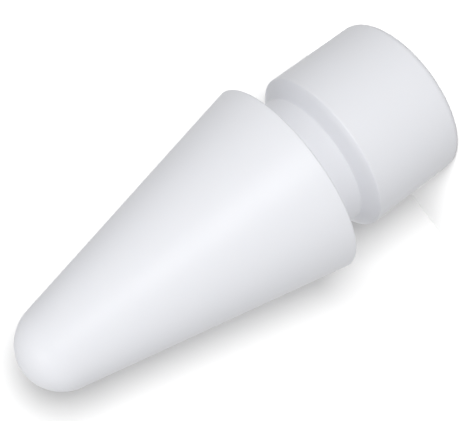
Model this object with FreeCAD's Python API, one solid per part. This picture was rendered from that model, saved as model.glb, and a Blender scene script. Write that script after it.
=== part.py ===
import FreeCAD, Part
import math
import os

# Screw-on nib of a stylus pen, in millimetres. The axis is Z. The nib stands on the flat rear face of its
# collar at z = 0, and its rounded nose points up. A hollow white moulding carries a turned brass insert,
# whose thread screws onto the pen's stem. The collar slides into the mouth of the pen's barrel.

# Outside of the moulding
CONE_BASE_D = 7.2       # sharp corner of the base ring, which ends flush with the pen's barrel
CONE_LENGTH = 10.66     # from the base ring's flat back to the tip of the nose
NOSE_R = 1.52           # ball nose that writes on the glass
NECK_D = 4.92           # bottom of the groove between cone and collar
NECK_LENGTH = 1.21      # straight wall of the groove
SHOULDER_RISE = 0.40    # sloped front of the collar, measured along the axis
COLLAR_D = 5.96         # spigot that the pen's barrel guides
COLLAR_LENGTH = 3.60    # straight side and rounded rear edge of the collar

# Rounded edges and inner corners of the moulding
RIM_R = 0.06            # edge of the cone's base ring
GROOVE_CORNER_R = 0.05  # both inner corners of the groove
COLLAR_FRONT_R = 0.08   # edge between the collar's side and its sloped front
COLLAR_REAR_R = 0.22    # edge round the rear face

# Thread M2.5 x 0.45, as a plain bore at its crests
THREAD_CREST_D = 2.013
THREAD_ROOT_D = 2.5
THREAD_MOUTH_RELIEF = 0.05  # how far each mouth opens beyond the thread's roots, all round

# Turned insert, pressed in from the rear
INSERT_D = 4.0          # over the smooth head and the knurl's flat lands
INSERT_LENGTH = 3.0
INSERT_SETBACK = 0.25   # its head lies this far inside the rear face
INSERT_HEAD_LENGTH = 0.45
INSERT_PILOT_STEP = 0.2     # the smooth end that enters first is smaller by this much, all round
INSERT_PILOT_LENGTH = 0.45
GRIP_GROOVE_DEPTH = 0.3     # turned groove that plastic closes on
GRIP_GROOVE_WIDTH = 0.5
KNURL_COUNT = 24
KNURL_DEPTH = 0.13
KNURL_FLANK_DEG = 45.0  # slope of each flank of a knurl's valley

# Mouth of the insert's seat, and the blind cavity for the pen's stem ahead of the insert
SEAT_MOUTH_CHAMFER = 0.15
STEM_CLEARANCE = 0.1    # round the stem's thread
STEM_CLEAR_LENGTH = 1.9 # straight stretch ahead of the insert
STEM_TAPER_LENGTH = 5.0
STEM_POINT_D = 1.3      # far end of the taper, round the stem's pointed end

# Diameters and heights that follow from the sizes above
STEM_D = THREAD_ROOT_D + 2 * STEM_CLEARANCE
THREAD_MOUTH_D = THREAD_ROOT_D + 2 * THREAD_MOUTH_RELIEF
INSERT_PILOT_D = INSERT_D - 2 * INSERT_PILOT_STEP
GRIP_GROOVE_D = INSERT_D - 2 * GRIP_GROOVE_DEPTH
SHOULDER_Z = COLLAR_LENGTH
GROOVE_Z = SHOULDER_Z + SHOULDER_RISE
CONE_BASE_Z = GROOVE_Z + NECK_LENGTH
TIP_Z = CONE_BASE_Z + CONE_LENGTH
SEAT_Z = INSERT_SETBACK + INSERT_LENGTH
STEM_TAPER_Z = SEAT_Z + STEM_CLEAR_LENGTH
STEM_END_Z = STEM_TAPER_Z + STEM_TAPER_LENGTH


def point(radius, height):
    """A point of a half section, in the plane y = 0."""
    return FreeCAD.Vector(radius, 0, height)


def rounded_corner(before, corner, after, radius):
    """The arc of this radius that touches both sides of a corner."""
    back = (before - corner).normalize()
    ahead = (after - corner).normalize()
    half_angle = back.getAngle(ahead) / 2
    reach = radius / math.tan(half_angle)
    middle_line = (back + ahead).normalize()
    middle = corner + middle_line * (radius / math.sin(half_angle) - radius)
    return Part.Arc(corner + back * reach, middle, corner + ahead * reach)


def outline(corners):
    """Straight edges through the corners, each corner rounded by its own radius, or sharp where that is 0.

    Returns the edges, from the first corner to the last. Neither end is rounded.
    """
    edges = []
    start = corners[0][0]
    for (before, _), (corner, radius), (after, _) in zip(corners, corners[1:], corners[2:]):
        if radius > 0:
            arc = rounded_corner(before, corner, after, radius)
            edges.append(Part.LineSegment(start, arc.StartPoint).toShape())
            edges.append(arc.toShape())
            start = arc.EndPoint
        else:
            edges.append(Part.LineSegment(start, corner).toShape())
            start = corner
    edges.append(Part.LineSegment(start, corners[-1][0]).toShape())
    return edges


def ball_end(tangent_point, centre_z, radius):
    """The arc from a tangent point on a ball's side to the ball's top, on the axis."""
    lean = math.atan2(tangent_point.z - centre_z, tangent_point.x)
    halfway = (lean + math.pi / 2) / 2
    middle = point(radius * math.cos(halfway), centre_z + radius * math.sin(halfway))
    return Part.Arc(tangent_point, middle, point(0, centre_z + radius)).toShape()


def tangent_on_ball(foot_radius, foot_z, centre_z, ball_radius):
    """Where a straight side that starts at the foot touches a ball further up the axis."""
    rise = centre_z - foot_z
    side_angle = math.atan2(foot_radius, rise) - math.asin(ball_radius / math.hypot(foot_radius, rise))
    return point(ball_radius * math.cos(side_angle), centre_z + ball_radius * math.sin(side_angle))


def turned(edges):
    """The solid that a closed half section sweeps round the axis."""
    section = Part.Face(Part.Wire(Part.__sortEdges__(edges)))
    return section.revolve(FreeCAD.Vector(0, 0, 0), FreeCAD.Vector(0, 0, 1), 360)


def nib_body():
    """White moulding: ball nose, straight cone, groove, collar, insert seat and blind cavity in one piece."""
    seat_r = INSERT_D / 2
    nose_centre_z = TIP_Z - NOSE_R
    nose_start = tangent_on_ball(CONE_BASE_D / 2, CONE_BASE_Z, nose_centre_z, NOSE_R)
    outside = outline([
        (point(seat_r + SEAT_MOUTH_CHAMFER, 0), 0),
        (point(COLLAR_D / 2, 0), COLLAR_REAR_R),
        (point(COLLAR_D / 2, SHOULDER_Z), COLLAR_FRONT_R),
        (point(NECK_D / 2, GROOVE_Z), GROOVE_CORNER_R),
        (point(NECK_D / 2, CONE_BASE_Z), GROOVE_CORNER_R),
        (point(CONE_BASE_D / 2, CONE_BASE_Z), RIM_R),
        (nose_start, 0),
    ])
    nose = ball_end(nose_start, nose_centre_z, NOSE_R)

    point_r = STEM_POINT_D / 2
    cavity_start = point(point_r, STEM_END_Z)
    cavity_end = ball_end(cavity_start, STEM_END_Z, point_r)
    solid_nose = Part.LineSegment(point(0, TIP_Z), point(0, STEM_END_Z + point_r)).toShape()
    inside = outline([
        (cavity_start, 0),
        (point(STEM_D / 2, STEM_TAPER_Z), 0),
        (point(STEM_D / 2, SEAT_Z), 0),
        (point(seat_r, SEAT_Z), 0),
        (point(seat_r, SEAT_MOUTH_CHAMFER), 0),
        (point(seat_r + SEAT_MOUTH_CHAMFER, 0), 0),
    ])
    return turned(outside + [nose, solid_nose, cavity_end] + inside)


def knurl_valley(low_z, high_z):
    """One straight V-shaped valley along the insert's side."""
    land_r = INSERT_D / 2
    floor_r = land_r - KNURL_DEPTH
    # The tool reaches as far outside the lands as the valley is deep, so that its back face cuts nothing.
    outer_r = land_r + KNURL_DEPTH
    half_width = (outer_r - floor_r) * math.tan(math.radians(KNURL_FLANK_DEG))
    corners = [
        FreeCAD.Vector(floor_r, 0, low_z),
        FreeCAD.Vector(outer_r, half_width, low_z),
        FreeCAD.Vector(outer_r, -half_width, low_z),
    ]
    triangle = Part.Face(Part.makePolygon(corners + corners[:1]))
    return triangle.extrude(FreeCAD.Vector(0, 0, high_z - low_z))


def threaded_insert():
    """Brass insert: smooth head, knurled side with a grip groove, pilot end, and the bore of its thread."""
    rear_z = INSERT_SETBACK
    head_z = rear_z + INSERT_HEAD_LENGTH
    pilot_z = SEAT_Z - INSERT_PILOT_LENGTH
    groove_low_z = (head_z + pilot_z - GRIP_GROOVE_WIDTH) / 2
    groove_high_z = groove_low_z + GRIP_GROOVE_WIDTH
    land_r = INSERT_D / 2
    groove_r = GRIP_GROOVE_D / 2
    pilot_r = INSERT_PILOT_D / 2
    crest_r = THREAD_CREST_D / 2
    mouth_r = THREAD_MOUTH_D / 2
    # The mouths are cut at 45 degrees, so their depth is the step between their radii.
    mouth_depth = mouth_r - crest_r
    half_section = outline([
        (point(mouth_r, rear_z), 0),
        (point(land_r, rear_z), 0),
        (point(land_r, groove_low_z), 0),
        (point(groove_r, groove_low_z), 0),
        (point(groove_r, groove_high_z), 0),
        (point(land_r, groove_high_z), 0),
        (point(land_r, pilot_z), 0),
        (point(pilot_r, pilot_z), 0),
        (point(pilot_r, SEAT_Z), 0),
        (point(mouth_r, SEAT_Z), 0),
        (point(crest_r, SEAT_Z - mouth_depth), 0),
        (point(crest_r, rear_z + mouth_depth), 0),
        (point(mouth_r, rear_z), 0),
    ])
    blank = turned(half_section)
    valley = knurl_valley(head_z, pilot_z)
    valleys = []
    for index in range(KNURL_COUNT):
        copy = valley.copy()
        copy.rotate(FreeCAD.Vector(0, 0, 0), FreeCAD.Vector(0, 0, 1), 360.0 * index / KNURL_COUNT)
        valleys.append(copy)
    return blank.cut(valleys)


def export(name, shape):
    """Write one piece to its own file, and print what it holds."""
    solids = shape.Solids
    print(name, "solids", len(solids), "valid", shape.isValid(), "volume", round(shape.Volume, 4))
    solids[0].exportStep("parts/" + name + ".step")


os.makedirs("parts", exist_ok=True)
export("nib_body", nib_body())
export("threaded_insert", threaded_insert())
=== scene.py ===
# %% [markdown]
# # A stylus pen nib in Blender
#
# The nib is a white plastic cone, about 16 mm long, that screws onto the end of a stylus pen. It is one
# moulding: a ball nose, a straight cone, a base ring, a narrow groove and a collar. Inside the collar sits a
# turned brass insert with a fine thread. This file loads the finished engineering model as a fixed frame, and
# then gives each of its two pieces a finer surface and a finish.
#
# Every length here is in metres, so a value in millimetres is written with MM beside it.

# %% Load the frame
import math

import bpy
import numpy as np
from mathutils import Matrix, Vector


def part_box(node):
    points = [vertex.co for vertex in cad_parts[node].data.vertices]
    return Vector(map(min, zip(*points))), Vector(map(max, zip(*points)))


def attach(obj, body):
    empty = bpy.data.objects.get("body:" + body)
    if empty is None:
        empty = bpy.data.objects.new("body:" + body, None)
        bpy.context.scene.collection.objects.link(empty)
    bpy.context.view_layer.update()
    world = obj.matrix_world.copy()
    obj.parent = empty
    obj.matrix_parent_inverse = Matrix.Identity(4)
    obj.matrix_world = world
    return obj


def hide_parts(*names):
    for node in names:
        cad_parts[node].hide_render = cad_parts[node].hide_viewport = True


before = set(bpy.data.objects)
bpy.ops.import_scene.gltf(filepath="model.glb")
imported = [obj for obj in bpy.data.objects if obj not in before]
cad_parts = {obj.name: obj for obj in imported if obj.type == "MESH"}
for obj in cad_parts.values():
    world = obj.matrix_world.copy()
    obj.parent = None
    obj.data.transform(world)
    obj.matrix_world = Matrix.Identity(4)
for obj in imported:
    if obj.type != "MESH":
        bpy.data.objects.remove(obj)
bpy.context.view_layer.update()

MM = 0.001
body_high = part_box("nib_body")[1]
insert_low, insert_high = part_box("threaded_insert")
print("nib is", round(body_high.z / MM, 2), "mm tall and", round(2 * body_high.x / MM, 2), "mm wide")

# %% [markdown]
# ## One function for every turned shape
#
# Both pieces were made on a round form: the moulding in a turned mould, the insert on a lathe. So both are a
# half section that goes round the axis. A Screw modifier could do that, but its seam and its poles have to be
# cleaned afterwards. Working the surface out on a grid is as short, closes the poles exactly, and lets the
# radius change with the angle too, which the insert's thread and knurl need later.

# %% Surface from a grid of radii and heights
SHARP_FROM = math.radians(28)


def closed_surface(name, radius, height):
    """Mesh of the points (r cos a, r sin a, z) on a grid whose columns are equal steps of the angle a.

    radius and height have one row per ring. The section runs clockwise as seen with the axis on its left and
    up at the top, so the faces point outwards. A first and last ring of radius 0 become poles, and otherwise
    the last ring joins the first, which makes a ring-shaped solid.
    """
    rows, columns = radius.shape
    angle = np.arange(columns) * (2 * math.pi / columns)
    has_poles = radius[0, 0] == 0 and radius[-1, 0] == 0
    ring = np.stack([radius * np.cos(angle), radius * np.sin(angle), height], axis=-1)
    if has_poles:
        points = np.concatenate([ring[0, :1], ring[1:-1].reshape(-1, 3), ring[-1, :1]])
        grid = 1 + np.arange((rows - 2) * columns).reshape(rows - 2, columns)
        start, end = grid[:-1], grid[1:]
    else:
        points = ring.reshape(-1, 3)
        grid = np.arange(rows * columns).reshape(rows, columns)
        start, end = grid, np.roll(grid, -1, axis=0)
    quads = np.stack([start, end, np.roll(end, -1, axis=1), np.roll(start, -1, axis=1)], axis=-1)
    faces = quads.reshape(-1, 4).tolist()
    if has_poles:
        first, last = grid[0], grid[-1]
        top = np.stack([np.zeros_like(first), first, np.roll(first, -1)], axis=-1)
        bottom = np.stack([last, np.full_like(last, len(points) - 1), np.roll(last, -1)], axis=-1)
        faces += top.tolist() + bottom.tolist()
    mesh = bpy.data.meshes.new(name)
    mesh.from_pydata(points.tolist(), [], faces)
    mesh.shade_smooth()
    mesh.set_sharp_from_angle(angle=SHARP_FROM)
    piece = bpy.data.objects.new(name, mesh)
    bpy.context.scene.collection.objects.link(piece)
    return piece


def enclosed_volume(piece):
    """Sum of the signed pyramids between the origin and each triangle. It is positive if faces point out."""
    mesh = piece.data
    mesh.calc_loop_triangles()
    points = np.array([v.co for v in mesh.vertices])
    corners = points[np.array([t.vertices for t in mesh.loop_triangles])]
    return float(np.einsum("ij,ij->i", corners[:, 0], np.cross(corners[:, 1], corners[:, 2])).sum() / 6)

# %% [markdown]
# ## The moulding's half section
#
# The moulding's look hangs on its edges: the ball nose runs into the cone with no line, and each outer edge
# has a small round that catches the light as one thin bright line. A Bevel modifier would round every edge by
# one width, so the section is drawn with a radius for each corner. A rounded corner is an arc that touches
# both sides, and its steps are small enough that the eye sees a curve.

# %% Arcs and corners of a section
STEPS_PER_ARC = 10
SIDE_STEP = 0.25 * MM


def arc_points(centre, radius, start_angle, end_angle, steps):
    """Points centre + radius (cos t, sin t), for t in even steps from the start angle to the end angle."""
    turn = np.linspace(start_angle, end_angle, steps + 1)
    return np.asarray(centre) + radius * np.stack([np.cos(turn), np.sin(turn)], axis=-1)


def rounded_corner(before, corner, after, radius):
    """Arc that touches both sides of a corner. Its centre is radius / sin(half the corner) from it."""
    back = (before - corner) / np.linalg.norm(before - corner)
    ahead = (after - corner) / np.linalg.norm(after - corner)
    half = math.acos(float(np.clip(back @ ahead, -1, 1))) / 2
    bisector = (back + ahead) / np.linalg.norm(back + ahead)
    centre = corner + bisector * radius / math.sin(half)
    start = corner + back * radius / math.tan(half) - centre
    end = corner + ahead * radius / math.tan(half) - centre
    start_angle = math.atan2(start[1], start[0])
    turn = (math.atan2(end[1], end[0]) - start_angle + math.pi) % (2 * math.pi) - math.pi
    return arc_points(centre, radius, start_angle, start_angle + turn, STEPS_PER_ARC)


def side_points(start, end):
    """Even points strictly between two ends, at most a side step apart, so that a side is shaded flat."""
    count = max(2, math.ceil(float(np.linalg.norm(end - start)) / SIDE_STEP))
    share = np.linspace(0, 1, count + 1)[1:-1, None]
    return start + (end - start) * share


def section_through(corners):
    """Section through corners of (radius, height, rounding), with the points along its sides filled in."""
    places = [np.array(corner[:2], float) for corner in corners]
    runs = [places[0][None, :]]
    for before, corner, after, rounding in zip(places, places[1:], places[2:], [c[2] for c in corners[1:]]):
        bend = rounded_corner(before, corner, after, rounding) if rounding else corner[None, :]
        runs += [side_points(runs[-1][-1], bend[0]), bend]
    runs += [side_points(runs[-1][-1], places[-1]), places[-1][None, :]]
    return np.concatenate(runs)

# %% [markdown]
# ## Nose, cone, groove and collar
#
# The lengths below are the moulding's own. The collar's front slopes up to the neck, which is the band that
# shows in the groove. The cone's side is the straight line from the base ring that just touches the nose ball:
# seen from the ring, the ball's centre lies at one angle to the axis, and the tangent at a smaller one.

# %% Sizes of the moulding
CONE_BASE_R = 3.6 * MM
CONE_LENGTH = 10.66 * MM
NOSE_R = 1.52 * MM
NECK_R = 2.46 * MM
NECK_LENGTH = 1.21 * MM
SHOULDER_RISE = 0.40 * MM
COLLAR_R = 2.98 * MM
COLLAR_LENGTH = 3.60 * MM
RIM_ROUND = 0.06 * MM
GROOVE_ROUND = 0.05 * MM
COLLAR_FRONT_ROUND = 0.08 * MM
COLLAR_REAR_ROUND = 0.22 * MM
SEAT_R = 2.0 * MM
SEAT_MOUTH = 0.15 * MM
STEM_R = 1.35 * MM
STEM_STRAIGHT = 1.9 * MM
STEM_TAPER = 5.0 * MM
STEM_POINT_R = 0.65 * MM

groove_z = COLLAR_LENGTH + SHOULDER_RISE
cone_base_z = groove_z + NECK_LENGTH
tip_z = cone_base_z + CONE_LENGTH
nose_centre_z = tip_z - NOSE_R
cone_rise = nose_centre_z - cone_base_z
cone_slope = math.atan2(CONE_BASE_R, cone_rise) - math.asin(NOSE_R / math.hypot(CONE_BASE_R, cone_rise))
seat_z = insert_high.z
taper_z = seat_z + STEM_STRAIGHT
cavity_z = taper_z + STEM_TAPER
print("cone's half angle is", round(math.degrees(cone_slope), 2), "degrees")

# %% Build the moulding
MOULDING_COLUMNS = 288
BALL_STEPS = 40


def make_moulding():
    """Closed shell: down the nose and the cone, through the groove, round the collar and up the cavity."""
    ball = arc_points((0, nose_centre_z), NOSE_R, math.pi / 2, cone_slope, BALL_STEPS)
    ball[0, 0] = 0
    outside = section_through([
        (ball[-1, 0], ball[-1, 1], 0),
        (CONE_BASE_R, cone_base_z, RIM_ROUND),
        (NECK_R, cone_base_z, GROOVE_ROUND),
        (NECK_R, groove_z, GROOVE_ROUND),
        (COLLAR_R, COLLAR_LENGTH, COLLAR_FRONT_ROUND),
        (COLLAR_R, 0, COLLAR_REAR_ROUND),
        (SEAT_R + SEAT_MOUTH, 0, 0),
        (SEAT_R, SEAT_MOUTH, 0),
        (SEAT_R, seat_z, 0),
        (STEM_R, seat_z, 0),
        (STEM_R, taper_z, 0),
        (STEM_POINT_R, cavity_z, 0),
    ])
    cavity_end = arc_points((0, cavity_z), STEM_POINT_R, 0, math.pi / 2, BALL_STEPS // 3)
    cavity_end[-1, 0] = 0
    section = np.concatenate([ball[:-1], outside, cavity_end[1:]])
    radius = np.repeat(section[:, :1], MOULDING_COLUMNS, axis=1)
    height = np.repeat(section[:, 1:], MOULDING_COLUMNS, axis=1)
    return closed_surface("white_moulding", radius, height)


moulding = make_moulding()
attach(moulding, "root")
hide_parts("nib_body")
print("moulding holds", round(enclosed_volume(moulding) / MM**3, 1), "cubic mm of plastic")

# %% [markdown]
# ## The threaded insert
#
# The insert can be seen only from behind, but it is what holds the nib on the pen. It is brass bar, turned
# with a smooth head, a knurl in two bands, a groove between them and a pilot end, and then tapped. The thread
# is not a picture of rings: its radius rises and falls with the height and the angle together, so that one
# groove climbs round the bore as a real screw thread does. The knurl's straight valleys are cut the same way,
# by a radius that dips at equal angles.

# %% Sizes of the insert
THREAD_CREST_R = 1.0065 * MM
THREAD_ROOT_R = 1.25 * MM
THREAD_PITCH = 0.45 * MM
THREAD_MOUTH_R = 1.30 * MM
HEAD_LENGTH = 0.45 * MM
PILOT_LENGTH = 0.45 * MM
PILOT_STEP = 0.20 * MM
GRIP_GROOVE_DEPTH = 0.30 * MM
GRIP_GROOVE_WIDTH = 0.50 * MM
KNURL_COUNT = 24
KNURL_DEPTH = 0.13 * MM
EDGE_BREAK = 0.03 * MM
INSERT_COLUMNS = 8 * KNURL_COUNT
THREAD_ROWS_PER_PITCH = 20

insert_rear = insert_low.z
insert_front = insert_high.z
insert_r = insert_high.x

# %% Thread and knurl as functions of angle and height
def thread_radius(angle, height):
    """Radius of the bore: a 60 degree groove whose phase is height / pitch - angle / one turn.

    A flat crest takes a quarter of the pitch and the flat root an eighth, and straight flanks join them. The
    mouths are cones at 45 degrees, so near each end the radius is at least the mouth's radius less the depth.
    """
    phase = (height / THREAD_PITCH - angle / (2 * math.pi)) % 1.0
    groove = np.interp(phase, [0, 0.125, 0.4375, 0.5625, 0.875, 1], [0, 0, 1, 1, 0, 0])
    radius = THREAD_CREST_R + (THREAD_ROOT_R - THREAD_CREST_R) * groove
    depth = np.minimum(height - insert_rear, insert_front - height)
    return np.maximum(radius, THREAD_MOUTH_R - depth)


def knurl_dip(angle):
    """Depth of the knurl: a V at each of the equal angles, with flanks at 45 degrees and lands between."""
    pitch = 2 * math.pi / KNURL_COUNT
    from_valley = np.abs((angle + pitch / 2) % pitch - pitch / 2) * insert_r
    return np.maximum(KNURL_DEPTH - from_valley, 0)

# %% Build the insert
def make_insert():
    """Closed ring: down the outside from the front face to the head, then up through the threaded bore."""
    angle = np.arange(INSERT_COLUMNS) * (2 * math.pi / INSERT_COLUMNS)
    head_z = insert_rear + HEAD_LENGTH
    pilot_z = insert_front - PILOT_LENGTH
    groove_low = (head_z + pilot_z - GRIP_GROOVE_WIDTH) / 2
    groove_high = groove_low + GRIP_GROOVE_WIDTH
    pilot_r = insert_r - PILOT_STEP
    groove_r = insert_r - GRIP_GROOVE_DEPTH
    # Each row of the outside is a radius, a height, and 1 where the knurl's valleys are cut into it.
    outside = np.array([
        (pilot_r - EDGE_BREAK, insert_front, 0),
        (pilot_r, insert_front - EDGE_BREAK, 0),
        (pilot_r, pilot_z, 0),
        (insert_r - KNURL_DEPTH, pilot_z, 0),
        (insert_r, pilot_z, 1),
        (insert_r, groove_high, 1),
        (groove_r, groove_high, 0),
        (groove_r, groove_low, 0),
        (insert_r, groove_low, 1),
        (insert_r, head_z, 1),
        (insert_r, head_z, 0),
        (insert_r, insert_rear + EDGE_BREAK, 0),
        (insert_r - EDGE_BREAK, insert_rear, 0),
        (THREAD_MOUTH_R + EDGE_BREAK, insert_rear, 0),
    ])
    radius_outside = outside[:, :1] - outside[:, 2:] * knurl_dip(angle)
    height_outside = np.repeat(outside[:, 1:2], INSERT_COLUMNS, axis=1)
    rows = math.ceil((insert_front - insert_rear) / THREAD_PITCH * THREAD_ROWS_PER_PITCH)
    height_bore = np.repeat(np.linspace(insert_rear, insert_front, rows)[:, None], INSERT_COLUMNS, axis=1)
    radius_bore = thread_radius(angle[None, :], height_bore)
    radius = np.concatenate([radius_outside, radius_bore])
    height = np.concatenate([height_outside, height_bore])
    return closed_surface("tapped_insert", radius, height)


insert = make_insert()
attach(insert, "root")
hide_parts("threaded_insert")
print("insert holds", round(enclosed_volume(insert) / MM**3, 1), "cubic mm of brass")

# %% [markdown]
# ## One grain for both finishes
#
# Up close neither finish is perfectly smooth: the mould was spark eroded to a very fine matt grain, and the
# brass keeps a little of its casting's mottle. The same pattern serves both at different scales, so it is a
# node group with a fine noise and a slow one. It reads Object coordinates in metres, so that a grain of
# 0.05 mm stays that size wherever it lies.

# %% Node helpers
def add_node(tree, kind, place, **settings):
    """One node at a place in the editor, with its settings and its unlinked inputs set by name."""
    node = tree.nodes.new(kind)
    node.location = place
    for name, value in settings.items():
        if name in node.bl_rna.properties:
            setattr(node, name, value)
        else:
            node.inputs[name.replace("_", " ")].default_value = value
    return node

# %% The grain group
def make_grain_group():
    """Group with inputs Vector, Grain Size and Slow Size, and outputs Height and Mottle, from 0 to 1."""
    group = bpy.data.node_groups.new("fine grain", "ShaderNodeTree")
    sockets = group.interface
    sockets.new_socket("Vector", in_out="INPUT", socket_type="NodeSocketVector")
    sockets.new_socket("Grain Size", in_out="INPUT", socket_type="NodeSocketFloat")
    sockets.new_socket("Slow Size", in_out="INPUT", socket_type="NodeSocketFloat")
    sockets.new_socket("Height", in_out="OUTPUT", socket_type="NodeSocketFloat")
    sockets.new_socket("Mottle", in_out="OUTPUT", socket_type="NodeSocketFloat")
    source = add_node(group, "NodeGroupInput", (-800, 0))
    result = add_node(group, "NodeGroupOutput", (400, 0))
    fine_scale = add_node(group, "ShaderNodeMath", (-550, 150), operation="DIVIDE")
    slow_scale = add_node(group, "ShaderNodeMath", (-550, -150), operation="DIVIDE")
    fine = add_node(group, "ShaderNodeTexNoise", (-300, 150), Detail=3.0, Roughness=0.55)
    slow = add_node(group, "ShaderNodeTexNoise", (-300, -150), Detail=2.0, Roughness=0.5)
    fine_scale.inputs[0].default_value = 1.0
    slow_scale.inputs[0].default_value = 1.0
    group.links.new(source.outputs["Grain Size"], fine_scale.inputs[1])
    group.links.new(source.outputs["Slow Size"], slow_scale.inputs[1])
    group.links.new(source.outputs["Vector"], fine.inputs["Vector"])
    group.links.new(source.outputs["Vector"], slow.inputs["Vector"])
    group.links.new(fine_scale.outputs[0], fine.inputs["Scale"])
    group.links.new(slow_scale.outputs[0], slow.inputs["Scale"])
    group.links.new(fine.outputs["Fac"], result.inputs["Height"])
    group.links.new(slow.outputs["Fac"], result.inputs["Mottle"])
    return group


grain_group = make_grain_group()

# %% [markdown]
# ## White moulded plastic
#
# The plastic is a slightly cool white with a satin skin. It is not a flat white: light goes a little way in
# and comes out again, which softens the groove's shade, and the skin's gloss varies by a few hundredths. So
# the shader has a little subsurface scattering, the slow noise drives the roughness and a trace of colour,
# and the fine noise is a bump no deeper than two thousandths of a millimetre.

# %% Material of the moulding
PLASTIC_COLOUR = (0.887, 0.896, 0.935)
PLASTIC_SHADE = (0.879, 0.889, 0.929)
PLASTIC_ROUGHNESS = (0.36, 0.42)
PLASTIC_GRAIN = 0.05 * MM
PLASTIC_MOTTLE = 1.3 * MM
PLASTIC_BUMP = 0.002 * MM
PLASTIC_BUMP_STRENGTH = 0.5
PLASTIC_IOR = 1.49
PLASTIC_SPECULAR = 0.3
SCATTER_SHARE = 0.06
SCATTER_DEPTH = 0.35 * MM
SCATTER_BY_COLOUR = (1.0, 0.95, 0.9)


def placed_grain(tree, grain_size, slow_size):
    """The grain group in a material, fed by Object coordinates."""
    place = add_node(tree, "ShaderNodeTexCoord", (-1000, 0))
    grain = add_node(tree, "ShaderNodeGroup", (-800, 0), node_tree=grain_group)
    grain.inputs["Grain Size"].default_value = grain_size
    grain.inputs["Slow Size"].default_value = slow_size
    tree.links.new(place.outputs["Object"], grain.inputs["Vector"])
    return grain


def new_material(name):
    """Material with its Principled shader, and the tree that holds them."""
    material = bpy.data.materials.new(name)
    material.use_nodes = True
    return material, material.node_tree, material.node_tree.nodes["Principled BSDF"]


def make_plastic():
    """Satin white plastic: mottled colour and roughness, fine bump, shallow subsurface scattering."""
    material, tree, shader = new_material("satin white plastic")
    shader.inputs["Subsurface Weight"].default_value = SCATTER_SHARE
    shader.inputs["Subsurface Radius"].default_value = SCATTER_BY_COLOUR
    shader.inputs["Subsurface Scale"].default_value = SCATTER_DEPTH
    shader.inputs["IOR"].default_value = PLASTIC_IOR
    shader.inputs["Specular IOR Level"].default_value = PLASTIC_SPECULAR
    grain = placed_grain(tree, PLASTIC_GRAIN, PLASTIC_MOTTLE)
    colour = add_node(tree, "ShaderNodeMix", (-500, 200), data_type="RGBA")
    colour.inputs["A"].default_value = (*PLASTIC_COLOUR, 1)
    colour.inputs["B"].default_value = (*PLASTIC_SHADE, 1)
    roughness = add_node(tree, "ShaderNodeMapRange", (-500, -50))
    roughness.inputs["To Min"].default_value = PLASTIC_ROUGHNESS[0]
    roughness.inputs["To Max"].default_value = PLASTIC_ROUGHNESS[1]
    bump = add_node(tree, "ShaderNodeBump", (-500, -350))
    bump.inputs["Strength"].default_value = PLASTIC_BUMP_STRENGTH
    bump.inputs["Distance"].default_value = PLASTIC_BUMP
    tree.links.new(grain.outputs["Mottle"], colour.inputs["Factor"])
    tree.links.new(grain.outputs["Mottle"], roughness.inputs["Value"])
    tree.links.new(grain.outputs["Height"], bump.inputs["Height"])
    tree.links.new(colour.outputs["Result"], shader.inputs["Base Color"])
    tree.links.new(roughness.outputs["Result"], shader.inputs["Roughness"])
    tree.links.new(bump.outputs["Normal"], shader.inputs["Normal"])
    return material


moulding.data.materials.append(make_plastic())

# %% [markdown]
# ## Turned brass
#
# A cutting tool leaves fine rings round the axis, on the faces as well as on the sides. Rings on both follow
# from one number, the distance from the axis plus the height: it grows outwards over a face and upwards along
# a side. Noise along that number gives rings of uneven depth, and the grain breaks them up a little.

# %% Material of the insert
BRASS_COLOUR = (0.78, 0.60, 0.32)
BRASS_SHADE = (0.70, 0.52, 0.27)
BRASS_ROUGHNESS = (0.22, 0.36)
RING_SPACING = 0.02 * MM
RING_BUMP = 0.002 * MM
RING_BUMP_STRENGTH = 0.6
BRASS_GRAIN = 0.04 * MM
BRASS_MOTTLE = 0.6 * MM


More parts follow.
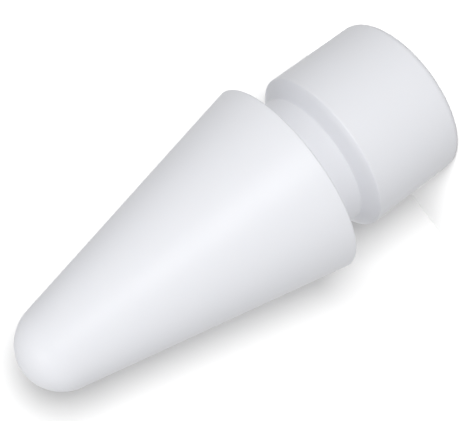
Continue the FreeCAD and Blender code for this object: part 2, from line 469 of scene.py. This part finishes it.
def make_brass():
    """Fine turned brass: rings by distance from the axis plus height, with the grain in colour and gloss."""
    material, tree, shader = new_material("turned brass")
    shader.inputs["Metallic"].default_value = 1.0
    grain = placed_grain(tree, BRASS_GRAIN, BRASS_MOTTLE)
    place = add_node(tree, "ShaderNodeTexCoord", (-1400, -400))
    split = add_node(tree, "ShaderNodeSeparateXYZ", (-1200, -400))
    across = add_node(tree, "ShaderNodeVectorMath", (-1200, -600), operation="MULTIPLY")
    across.inputs[1].default_value = (1, 1, 0)
    distance = add_node(tree, "ShaderNodeVectorMath", (-1000, -600), operation="LENGTH")
    along = add_node(tree, "ShaderNodeMath", (-800, -500), operation="ADD")
    rings = add_node(tree, "ShaderNodeTexNoise", (-600, -500), noise_dimensions="1D", Detail=2.0)
    rings.inputs["Scale"].default_value = 1 / RING_SPACING
    colour = add_node(tree, "ShaderNodeMix", (-400, 200), data_type="RGBA")
    colour.inputs["A"].default_value = (*BRASS_COLOUR, 1)
    colour.inputs["B"].default_value = (*BRASS_SHADE, 1)
    roughness = add_node(tree, "ShaderNodeMapRange", (-400, -50))
    roughness.inputs["To Min"].default_value = BRASS_ROUGHNESS[0]
    roughness.inputs["To Max"].default_value = BRASS_ROUGHNESS[1]
    bump = add_node(tree, "ShaderNodeBump", (-300, -450))
    bump.inputs["Strength"].default_value = RING_BUMP_STRENGTH
    bump.inputs["Distance"].default_value = RING_BUMP
    tree.links.new(place.outputs["Object"], split.inputs["Vector"])
    tree.links.new(place.outputs["Object"], across.inputs[0])
    tree.links.new(across.outputs["Vector"], distance.inputs[0])
    tree.links.new(distance.outputs["Value"], along.inputs[0])
    tree.links.new(split.outputs["Z"], along.inputs[1])
    tree.links.new(along.outputs["Value"], rings.inputs["W"])
    tree.links.new(grain.outputs["Mottle"], colour.inputs["Factor"])
    tree.links.new(grain.outputs["Height"], roughness.inputs["Value"])
    tree.links.new(rings.outputs["Fac"], bump.inputs["Height"])
    tree.links.new(colour.outputs["Result"], shader.inputs["Base Color"])
    tree.links.new(roughness.outputs["Result"], shader.inputs["Roughness"])
    tree.links.new(bump.outputs["Normal"], shader.inputs["Normal"])
    return material


insert.data.materials.append(make_brass())

# %% [markdown]
# ## Floor and card
#
# The nib stands on the flat end of its collar, on a plain pale floor. In the picture it lies down instead, so
# its shadow follows it closely along one side. Standing up it would lose that shadow. So a pale card stands
# upright close behind the nib, where the picture has its surface.
#
# Both are stage only: the camera sees them and they take the nib's shadow, but the nib gets no light from
# them, and nothing reflects them. The nib sees the even surround on every side instead, from below too. Their
# backs are clear, so that a view from behind or from beneath still shows the nib.

# %% White stage material
STAGE_COLOUR = (0.6, 0.6, 0.6)
STAGE_ROUGHNESS = 0.9


def make_stage_material(name, glow_level):
    """Pale matt surface with a clear back. Camera, glossy and transmission rays see it lifted by a glow."""
    material, tree, shader = new_material(name)
    shader.inputs["Base Color"].default_value = (*STAGE_COLOUR, 1)
    shader.inputs["Roughness"].default_value = STAGE_ROUGHNESS
    shader.inputs["Specular IOR Level"].default_value = 0.0
    shader.inputs["Emission Color"].default_value = (1, 1, 1, 1)
    path = add_node(tree, "ShaderNodeLightPath", (-800, 0))
    seen = add_node(tree, "ShaderNodeMath", (-600, 0), operation="MAXIMUM")
    seen_through = add_node(tree, "ShaderNodeMath", (-400, 0), operation="MAXIMUM")
    glow = add_node(tree, "ShaderNodeMath", (-200, 0), operation="MULTIPLY")
    glow.inputs[1].default_value = glow_level
    side = add_node(tree, "ShaderNodeNewGeometry", (0, 300))
    clear = add_node(tree, "ShaderNodeBsdfTransparent", (0, 500))
    mix = add_node(tree, "ShaderNodeMixShader", (300, 200))
    output = tree.nodes["Material Output"]
    tree.links.new(path.outputs["Is Camera Ray"], seen.inputs[0])
    tree.links.new(path.outputs["Is Glossy Ray"], seen.inputs[1])
    tree.links.new(seen.outputs[0], seen_through.inputs[0])
    tree.links.new(path.outputs["Is Transmission Ray"], seen_through.inputs[1])
    tree.links.new(seen_through.outputs[0], glow.inputs[0])
    tree.links.new(glow.outputs[0], shader.inputs["Emission Strength"])
    tree.links.new(side.outputs["Backfacing"], mix.inputs["Fac"])
    tree.links.new(shader.outputs[0], mix.inputs[1])
    tree.links.new(clear.outputs[0], mix.inputs[2])
    tree.links.new(mix.outputs[0], output.inputs["Surface"])
    return material

# %% Floor and card
FLOOR_HALF = 1000 * MM
FLOOR_GLOW = 0.14
CARD_BEHIND = 4.0 * MM
CARD_HALF_WIDTH = 13 * MM
CARD_HEIGHT = 20 * MM
CARD_GLOW = 0.08


def stage_piece(name, corners, glow_level):
    """One flat face through four corners, with its pale material, that only the camera sees."""
    mesh = bpy.data.meshes.new(name)
    mesh.from_pydata(corners, [], [(0, 1, 2, 3)])
    mesh.materials.append(make_stage_material("pale " + name, glow_level))
    piece = bpy.data.objects.new(name, mesh)
    bpy.context.scene.collection.objects.link(piece)
    piece.visible_diffuse = False
    piece.visible_glossy = False
    piece.visible_transmission = False
    piece.visible_shadow = False
    return piece


floor = stage_piece("floor", [
    (-FLOOR_HALF, -FLOOR_HALF, 0),
    (FLOOR_HALF, -FLOOR_HALF, 0),
    (FLOOR_HALF, FLOOR_HALF, 0),
    (-FLOOR_HALF, FLOOR_HALF, 0),
], FLOOR_GLOW)
card = stage_piece("card", [
    (-CARD_HALF_WIDTH, CARD_BEHIND, 0),
    (CARD_HALF_WIDTH, CARD_BEHIND, 0),
    (CARD_HALF_WIDTH, CARD_BEHIND, CARD_HEIGHT),
    (-CARD_HALF_WIDTH, CARD_BEHIND, CARD_HEIGHT),
], CARD_GLOW)
print("card stands", round((CARD_BEHIND - CONE_BASE_R) / MM, 2), "mm behind the base ring")

# %% [markdown]
# ## Camera
#
# The picture shows the nib askew, with its nose at the lower left. Here the nib stands upright, so the camera
# keeps the same view of it and is rolled about its own line of sight instead. It stands 33 mm in front of the
# axis and a little higher than the nose, and looks down by 16 degrees.

# %% Camera
CAMERA_BACK = 33.37 * MM
CAMERA_HEIGHT = 16.83 * MM
LOOK_DOWN = 15.96
LOOK_ASIDE = -0.28
ROLL = -126.3
FOCAL_PIXELS = 1043.8
PICTURE_WIDTH = 469


def make_camera():
    """Camera in front of the nib. Its turns are about its own line of sight, then down, then aside."""
    camera_data = bpy.data.cameras.new("camera")
    camera_data.lens = camera_data.sensor_width * FOCAL_PIXELS / PICTURE_WIDTH
    camera_data.clip_start = 1 * MM
    camera_data.clip_end = 10.0
    camera = bpy.data.objects.new("camera", camera_data)
    bpy.context.scene.collection.objects.link(camera)
    aside = Matrix.Rotation(math.radians(LOOK_ASIDE), 4, "Z")
    down = Matrix.Rotation(math.radians(90 - LOOK_DOWN), 4, "X")
    roll = Matrix.Rotation(math.radians(ROLL), 4, "Z")
    place = Matrix.Translation((0, -CAMERA_BACK, CAMERA_HEIGHT))
    camera.matrix_world = place @ aside @ down @ roll
    return camera


camera = make_camera()
bpy.context.scene.camera = camera

# %% [markdown]
# ## Light on the nib
#
# The plastic is pale all over: brightest along the middle of the cone, and softly darker to both sides. That
# takes an even surround and a round lamp in front of the nib, the key. The groove is darker than the collar
# beside it, because the cone's base ring shades it from above. So a part of the light comes from a small lamp
# high in front of the nib. It reaches the cone and the collar but not the neck, and draws the fine bright line
# along the collar's front edge. The surround is a little brighter overhead too, by the fourth power of the
# direction's height, which brings out the nose. A lamp behind the nib keeps its back as pale as its front, and
# doesn't show in the picture.
#
# A lamp's power follows from the level that it should give: a white surface facing a lamp of power P from the
# distance d looks as bright as P / (pi d)^2.

# %% World
WORLD_LEVEL = 0.405
OVERHEAD_LEVEL = 0.32
OVERHEAD_POWER = 4.0


def make_world():
    """White surround with more light from overhead. What reflects or shows the surround sees full white."""
    world = bpy.data.worlds.new("surround")
    world.use_nodes = True
    tree = world.node_tree
    tree.nodes.clear()
    out = add_node(tree, "ShaderNodeOutputWorld", (600, 0))
    surround = add_node(tree, "ShaderNodeBackground", (400, 0))
    surround.inputs["Color"].default_value = (1, 1, 1, 1)
    direction = add_node(tree, "ShaderNodeTexCoord", (-1000, -300))
    split = add_node(tree, "ShaderNodeSeparateXYZ", (-800, -300))
    above = add_node(tree, "ShaderNodeMath", (-600, -300), operation="MAXIMUM")
    above.inputs[1].default_value = 0.0
    overhead = add_node(tree, "ShaderNodeMath", (-400, -300), operation="POWER")
    overhead.inputs[1].default_value = OVERHEAD_POWER
    diffuse_level = add_node(tree, "ShaderNodeMath", (-200, -300), operation="MULTIPLY_ADD")
    diffuse_level.inputs[1].default_value = OVERHEAD_LEVEL
    diffuse_level.inputs[2].default_value = WORLD_LEVEL
    path = add_node(tree, "ShaderNodeLightPath", (-400, 0))
    seen = add_node(tree, "ShaderNodeMath", (-200, 0), operation="MAXIMUM")
    seen_through = add_node(tree, "ShaderNodeMath", (0, 0), operation="MAXIMUM")
    level = add_node(tree, "ShaderNodeMapRange", (200, 0))
    level.inputs["To Max"].default_value = 1.0
    tree.links.new(direction.outputs["Generated"], split.inputs["Vector"])
    tree.links.new(split.outputs["Z"], above.inputs[0])
    tree.links.new(above.outputs[0], overhead.inputs[0])
    tree.links.new(overhead.outputs[0], diffuse_level.inputs[0])
    tree.links.new(path.outputs["Is Camera Ray"], seen.inputs[0])
    tree.links.new(path.outputs["Is Glossy Ray"], seen.inputs[1])
    tree.links.new(seen.outputs[0], seen_through.inputs[0])
    tree.links.new(path.outputs["Is Transmission Ray"], seen_through.inputs[1])
    tree.links.new(seen_through.outputs[0], level.inputs["Value"])
    tree.links.new(diffuse_level.outputs[0], level.inputs["To Min"])
    tree.links.new(level.outputs["Result"], surround.inputs["Strength"])
    tree.links.new(surround.outputs[0], out.inputs["Surface"])
    bpy.context.scene.world = world


make_world()

# %% Lamps of the nib
LAMP_DISTANCE = 100 * MM
KEY_LEVEL = 0.465
KEY_SIZE = 55 * MM
KEY_ASIDE = math.radians(1)
KEY_RISE = math.radians(6)
BACK_LEVEL = 0.36
BACK_SIZE = 45 * MM
BACK_ASIDE = math.radians(180)
BACK_RISE = math.radians(0)
UPPER_LEVEL = 0.145
UPPER_SIZE = 25 * MM
UPPER_ASIDE = math.radians(0)
UPPER_RISE = math.radians(64)
NIB_MIDDLE = Vector((0, 0, 8 * MM))


def place_towards(aside, rise, distance):
    """Place at a distance from the nib, turned aside from straight in front, and at a rise above the floor."""
    level_part = math.cos(rise)
    towards = Vector((math.sin(aside) * level_part, -math.cos(aside) * level_part, math.sin(rise)))
    return NIB_MIDDLE + distance * towards


def make_light(kind, name, place, pieces):
    """Light at a place, facing the nib, that lights only the given pieces."""
    data = bpy.data.lights.new(name, kind)
    light = bpy.data.objects.new(name, data)
    bpy.context.scene.collection.objects.link(light)
    facing = (place - NIB_MIDDLE).to_track_quat("Z", "Y").to_matrix().to_4x4()
    light.matrix_world = Matrix.Translation(place) @ facing
    lit = bpy.data.collections.new("lit by " + name)
    for piece in pieces:
        lit.objects.link(piece)
    light.light_linking.receiver_collection = lit
    return light


def make_nib_lamp(name, aside, rise, size, level):
    """Round lamp that gives the nib this level."""
    lamp = make_light("AREA", name, place_towards(aside, rise, LAMP_DISTANCE), [moulding, insert])
    lamp.data.shape = "DISK"
    lamp.data.size = size
    lamp.data.energy = level * (math.pi * LAMP_DISTANCE) ** 2
    return lamp


make_nib_lamp("key", KEY_ASIDE, KEY_RISE, KEY_SIZE, KEY_LEVEL)
make_nib_lamp("upper lamp", UPPER_ASIDE, UPPER_RISE, UPPER_SIZE, UPPER_LEVEL)
back_lamp = make_nib_lamp("back lamp", BACK_ASIDE, BACK_RISE, BACK_SIZE, BACK_LEVEL)
back_lamp.visible_glossy = False

# %% [markdown]
# ## Light on the floor and the card
#
# A shadow is as deep as the share of light that the nib takes away. The nib's own light is mostly surround, so
# its shadow would be faint. The floor and the card have lights of their own instead, which light nothing else.
#
# The card's lamp is a disk beside the camera, moved towards the top of the picture, so the shadow shows as a
# band below the nib, as wide at the nose as at the collar. A lamp further off would widen it towards one end.
# The disk's size sets how soft the band is. So near a lamp, the card would be much paler in the middle than at
# its edges, so the lamp's light is kept from falling off with the distance: its power is then level times pi
# squared. The floor's light is parallel, and one of strength S shows a white surface as bright as S / pi.

# %% Stage lights
CARD_LAMP_LEVEL = 1.45
CARD_LAMP_SIZE = 17.5 * MM
CARD_LAMP_SHIFT = Vector((4.4 * MM, 0, -3.28 * MM))
FLOOR_LIGHT_LEVEL = 1.98
FLOOR_LIGHT_ASIDE = math.radians(14)
FLOOR_LIGHT_RISE = math.radians(38)
FLOOR_LIGHT_SPREAD = math.radians(30)

card_lamp = make_light("AREA", "card lamp", camera.matrix_world.translation + CARD_LAMP_SHIFT, [card])
card_lamp.data.shape = "DISK"
card_lamp.data.size = CARD_LAMP_SIZE
card_lamp.data.energy = CARD_LAMP_LEVEL * math.pi ** 2
card_lamp.data.use_nodes = True
lamp_tree = card_lamp.data.node_tree
falloff = add_node(lamp_tree, "ShaderNodeLightFalloff", (-200, 0), Strength=1.0)
lamp_tree.links.new(falloff.outputs["Constant"], lamp_tree.nodes["Emission"].inputs["Strength"])

floor_place = place_towards(FLOOR_LIGHT_ASIDE, FLOOR_LIGHT_RISE, LAMP_DISTANCE)
floor_light = make_light("SUN", "floor light", floor_place, [floor])
floor_light.data.energy = FLOOR_LIGHT_LEVEL * math.pi
floor_light.data.angle = FLOOR_LIGHT_SPREAD

bpy.context.scene.view_settings.view_transform = "Standard"
